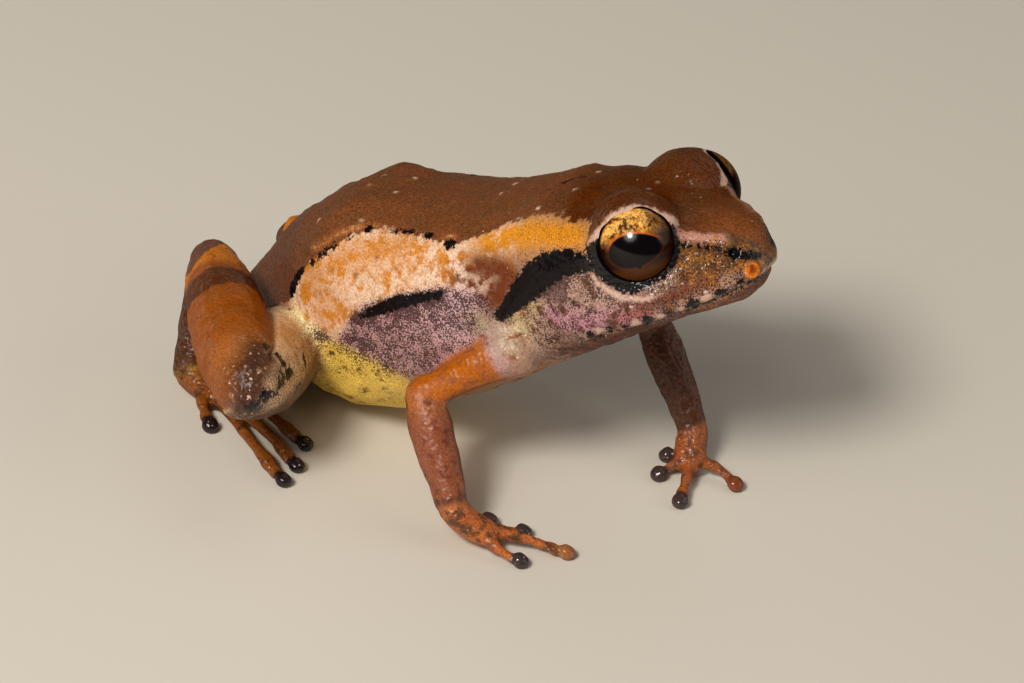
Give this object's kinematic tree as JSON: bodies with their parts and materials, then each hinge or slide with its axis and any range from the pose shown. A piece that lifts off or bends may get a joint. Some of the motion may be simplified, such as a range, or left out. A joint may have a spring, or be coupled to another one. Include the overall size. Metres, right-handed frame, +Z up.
{
  "type": "rain frog",
  "caption": "Life-size leaf-litter rain frog, a still museum model sitting high on its front legs, with head, jaw, eyes, torso and every limb segment as separate solids.",
  "frame": {"origin": "on the floor, under the middle of the frog's bounding box", "axes": "+X towards the snout, +Y to the frog's left, +Z up"},
  "size_m": [0.034, 0.0364, 0.0229],
  "materials": {
    "skin": "thin wet skin, satin to glossy",
    "eye": "clear wet cornea over a copper iris"
  },
  "bodies": {
    "root": {"head": "skin", "lower_jaw": "skin", "torso": "skin", "eye_right": "eye", "eye_left": "eye", "upper_arm_right": "skin", "forearm_right": "skin", "hand_right": "skin", "upper_arm_left": "skin", "forearm_left": "skin", "hand_left": "skin", "thigh_right": "skin", "shank_right": "skin", "tarsus_right": "skin", "foot_right": "skin", "thigh_left": "skin", "shank_left": "skin", "tarsus_left": "skin", "foot_left": "skin"}
  },
  "joints": []
}
